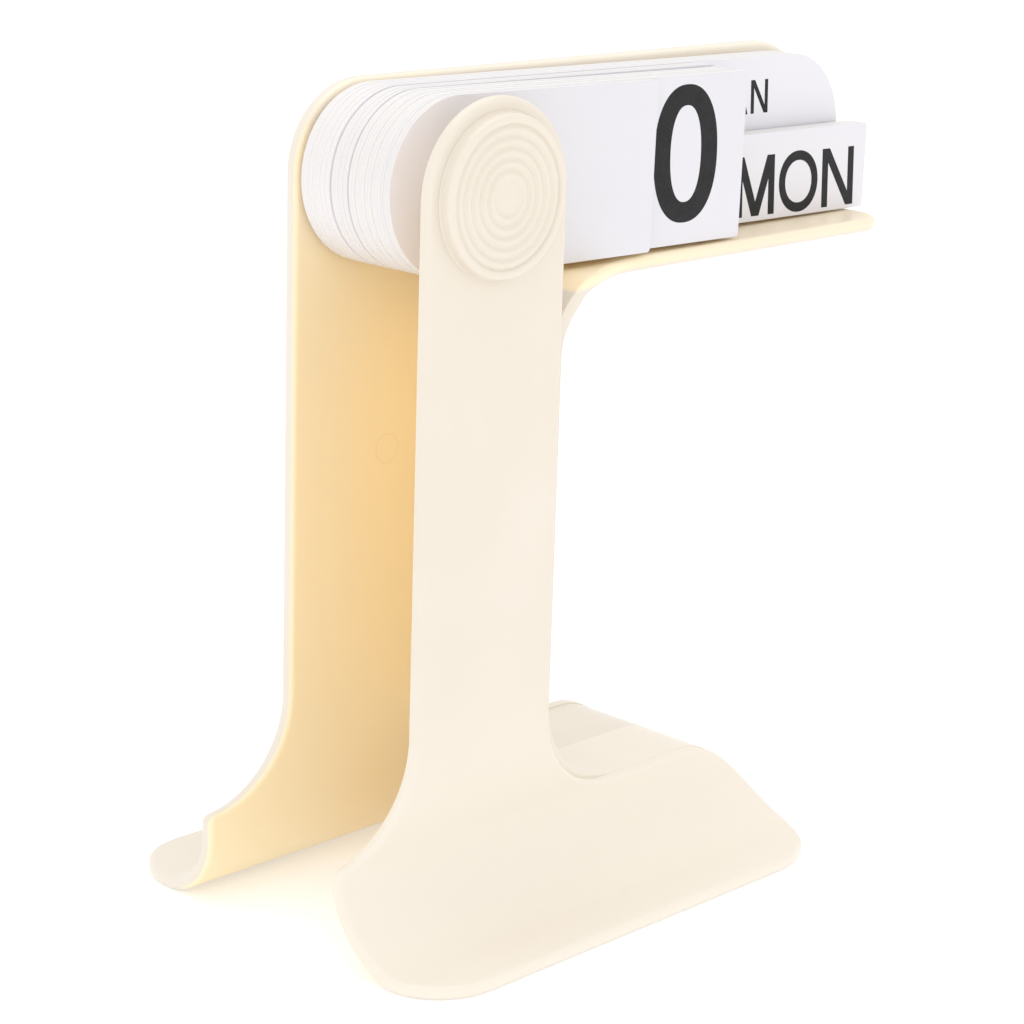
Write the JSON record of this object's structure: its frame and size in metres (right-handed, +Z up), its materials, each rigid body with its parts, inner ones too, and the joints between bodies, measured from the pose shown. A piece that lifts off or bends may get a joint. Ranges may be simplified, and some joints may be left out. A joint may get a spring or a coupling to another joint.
{
  "type": "flip desk calendar",
  "caption": "C-shaped moulded stand with a stack of swinging date cards on one pivot; unused cards flip over and hang in the hollow column.",
  "frame": {"origin": "middle of the footprint box, on the ground", "axes": "+X along the arm, +Y to the back, +Z up"},
  "size_m": [0.178, 0.0912, 0.1611],
  "materials": {
    "abs_cream": "satin moulded ABS",
    "pvc_white": "satin PVC sheet",
    "nylon": "satin"
  },
  "bodies": {
    "stand": {"front_leg": "abs_cream", "rear_frame": "abs_cream", "axle": "nylon", "pivot_cap": "abs_cream", "rear_cap": "abs_cream", "stack_spacer": "nylon"},
    "tens_card_blank_body": {"tens_card_blank": "pvc_white"},
    "tens_card_1_body": {"tens_card_1": "pvc_white"},
    "tens_card_2_body": {"tens_card_2": "pvc_white"},
    "tens_card_3_body": {"tens_card_3": "pvc_white"},
    "units_card_0_body": {"units_card_0": "pvc_white"},
    "units_card_1_body": {"units_card_1": "pvc_white"},
    "units_card_2_body": {"units_card_2": "pvc_white"},
    "units_card_3_body": {"units_card_3": "pvc_white"},
    "units_card_4_body": {"units_card_4": "pvc_white"},
    "units_card_5_body": {"units_card_5": "pvc_white"},
    "units_card_6_body": {"units_card_6": "pvc_white"},
    "units_card_7_body": {"units_card_7": "pvc_white"},
    "units_card_8_body": {"units_card_8": "pvc_white"},
    "units_card_9_body": {"units_card_9": "pvc_white"},
    "weekday_card_1_body": {"weekday_card_1": "pvc_white"},
    "weekday_card_2_body": {"weekday_card_2": "pvc_white"},
    "weekday_card_3_body": {"weekday_card_3": "pvc_white"},
    "weekday_card_4_body": {"weekday_card_4": "pvc_white"},
    "weekday_card_5_body": {"weekday_card_5": "pvc_white"},
    "weekday_card_6_body": {"weekday_card_6": "pvc_white"},
    "weekday_card_7_body": {"weekday_card_7": "pvc_white"},
    "month_card_01_body": {"month_card_01": "pvc_white"},
    "month_card_02_body": {"month_card_02": "pvc_white"},
    "month_card_03_body": {"month_card_03": "pvc_white"},
    "month_card_04_body": {"month_card_04": "pvc_white"},
    "month_card_05_body": {"month_card_05": "pvc_white"},
    "month_card_06_body": {"month_card_06": "pvc_white"},
    "month_card_07_body": {"month_card_07": "pvc_white"},
    "month_card_08_body": {"month_card_08": "pvc_white"},
    "month_card_09_body": {"month_card_09": "pvc_white"},
    "month_card_10_body": {"month_card_10": "pvc_white"},
    "month_card_11_body": {"month_card_11": "pvc_white"},
    "month_card_12_body": {"month_card_12": "pvc_white"}
  },
  "joints": [
    {"name": "tens_card_blank_flip", "type": "hinge", "parent": "stand", "child": "tens_card_blank_body", "pos_m": [-0.05101, 0.0011, 0.1428], "axis": [0, -1, 0], "range_deg": [0, 270]},
    {"name": "tens_card_1_flip", "type": "hinge", "parent": "stand", "child": "tens_card_1_body", "pos_m": [-0.05101, 0.0011, 0.1428], "axis": [0, -1, 0], "range_deg": [0, 270]},
    {"name": "tens_card_2_flip", "type": "hinge", "parent": "stand", "child": "tens_card_2_body", "pos_m": [-0.05101, 0.0011, 0.1428], "axis": [0, -1, 0], "range_deg": [0, 270]},
    {"name": "tens_card_3_flip", "type": "hinge", "parent": "stand", "child": "tens_card_3_body", "pos_m": [-0.05101, 0.0011, 0.1428], "axis": [0, -1, 0], "range_deg": [0, 270]},
    {"name": "units_card_0_flip", "type": "hinge", "parent": "stand", "child": "units_card_0_body", "pos_m": [-0.05101, 0.0011, 0.1428], "axis": [0, -1, 0], "range_deg": [0, 270]},
    {"name": "units_card_1_flip", "type": "hinge", "parent": "stand", "child": "units_card_1_body", "pos_m": [-0.05101, 0.0011, 0.1428], "axis": [0, -1, 0], "range_deg": [0, 270]},
    {"name": "units_card_2_flip", "type": "hinge", "parent": "stand", "child": "units_card_2_body", "pos_m": [-0.05101, 0.0011, 0.1428], "axis": [0, -1, 0], "range_deg": [0, 270]},
    {"name": "units_card_3_flip", "type": "hinge", "parent": "stand", "child": "units_card_3_body", "pos_m": [-0.05101, 0.0011, 0.1428], "axis": [0, -1, 0], "range_deg": [0, 270]},
    {"name": "units_card_4_flip", "type": "hinge", "parent": "stand", "child": "units_card_4_body", "pos_m": [-0.05101, 0.0011, 0.1428], "axis": [0, -1, 0], "range_deg": [0, 270]},
    {"name": "units_card_5_flip", "type": "hinge", "parent": "stand", "child": "units_card_5_body", "pos_m": [-0.05101, 0.0011, 0.1428], "axis": [0, -1, 0], "range_deg": [0, 270]},
    {"name": "units_card_6_flip", "type": "hinge", "parent": "stand", "child": "units_card_6_body", "pos_m": [-0.05101, 0.0011, 0.1428], "axis": [0, -1, 0], "range_deg": [0, 270]},
    {"name": "units_card_7_flip", "type": "hinge", "parent": "stand", "child": "units_card_7_body", "pos_m": [-0.05101, 0.0011, 0.1428], "axis": [0, -1, 0], "range_deg": [0, 270]},
    {"name": "units_card_8_flip", "type": "hinge", "parent": "stand", "child": "units_card_8_body", "pos_m": [-0.05101, 0.0011, 0.1428], "axis": [0, -1, 0], "range_deg": [0, 270]},
    {"name": "units_card_9_flip", "type": "hinge", "parent": "stand", "child": "units_card_9_body", "pos_m": [-0.05101, 0.0011, 0.1428], "axis": [0, -1, 0], "range_deg": [0, 270]},
    {"name": "weekday_card_1_flip", "type": "hinge", "parent": "stand", "child": "weekday_card_1_body", "pos_m": [-0.05101, 0.0011, 0.1428], "axis": [0, -1, 0], "range_deg": [0, 270]},
    {"name": "weekday_card_2_flip", "type": "hinge", "parent": "stand", "child": "weekday_card_2_body", "pos_m": [-0.05101, 0.0011, 0.1428], "axis": [0, -1, 0], "range_deg": [0, 270]},
    {"name": "weekday_card_3_flip", "type": "hinge", "parent": "stand", "child": "weekday_card_3_body", "pos_m": [-0.05101, 0.0011, 0.1428], "axis": [0, -1, 0], "range_deg": [0, 270]},
    {"name": "weekday_card_4_flip", "type": "hinge", "parent": "stand", "child": "weekday_card_4_body", "pos_m": [-0.05101, 0.0011, 0.1428], "axis": [0, -1, 0], "range_deg": [0, 270]},
    {"name": "weekday_card_5_flip", "type": "hinge", "parent": "stand", "child": "weekday_card_5_body", "pos_m": [-0.05101, 0.0011, 0.1428], "axis": [0, -1, 0], "range_deg": [0, 270]},
    {"name": "weekday_card_6_flip", "type": "hinge", "parent": "stand", "child": "weekday_card_6_body", "pos_m": [-0.05101, 0.0011, 0.1428], "axis": [0, -1, 0], "range_deg": [0, 270]},
    {"name": "weekday_card_7_flip", "type": "hinge", "parent": "stand", "child": "weekday_card_7_body", "pos_m": [-0.05101, 0.0011, 0.1428], "axis": [0, -1, 0], "range_deg": [0, 270]},
    {"name": "month_card_01_flip", "type": "hinge", "parent": "stand", "child": "month_card_01_body", "pos_m": [-0.05101, 0.0011, 0.1428], "axis": [0, -1, 0], "range_deg": [0, 270]},
    {"name": "month_card_02_flip", "type": "hinge", "parent": "stand", "child": "month_card_02_body", "pos_m": [-0.05101, 0.0011, 0.1428], "axis": [0, -1, 0], "range_deg": [0, 270]},
    {"name": "month_card_03_flip", "type": "hinge", "parent": "stand", "child": "month_card_03_body", "pos_m": [-0.05101, 0.0011, 0.1428], "axis": [0, -1, 0], "range_deg": [0, 270]},
    {"name": "month_card_04_flip", "type": "hinge", "parent": "stand", "child": "month_card_04_body", "pos_m": [-0.05101, 0.0011, 0.1428], "axis": [0, -1, 0], "range_deg": [0, 270]},
    {"name": "month_card_05_flip", "type": "hinge", "parent": "stand", "child": "month_card_05_body", "pos_m": [-0.05101, 0.0011, 0.1428], "axis": [0, -1, 0], "range_deg": [0, 270]},
    {"name": "month_card_06_flip", "type": "hinge", "parent": "stand", "child": "month_card_06_body", "pos_m": [-0.05101, 0.0011, 0.1428], "axis": [0, -1, 0], "range_deg": [0, 270]},
    {"name": "month_card_07_flip", "type": "hinge", "parent": "stand", "child": "month_card_07_body", "pos_m": [-0.05101, 0.0011, 0.1428], "axis": [0, -1, 0], "range_deg": [0, 270]},
    {"name": "month_card_08_flip", "type": "hinge", "parent": "stand", "child": "month_card_08_body", "pos_m": [-0.05101, 0.0011, 0.1428], "axis": [0, -1, 0], "range_deg": [0, 270]},
    {"name": "month_card_09_flip", "type": "hinge", "parent": "stand", "child": "month_card_09_body", "pos_m": [-0.05101, 0.0011, 0.1428], "axis": [0, -1, 0], "range_deg": [0, 270]},
    {"name": "month_card_10_flip", "type": "hinge", "parent": "stand", "child": "month_card_10_body", "pos_m": [-0.05101, 0.0011, 0.1428], "axis": [0, -1, 0], "range_deg": [0, 270]},
    {"name": "month_card_11_flip", "type": "hinge", "parent": "stand", "child": "month_card_11_body", "pos_m": [-0.05101, 0.0011, 0.1428], "axis": [0, -1, 0], "range_deg": [0, 270]},
    {"name": "month_card_12_flip", "type": "hinge", "parent": "stand", "child": "month_card_12_body", "pos_m": [-0.05101, 0.0011, 0.1428], "axis": [0, -1, 0], "range_deg": [0, 270]}
  ]
}
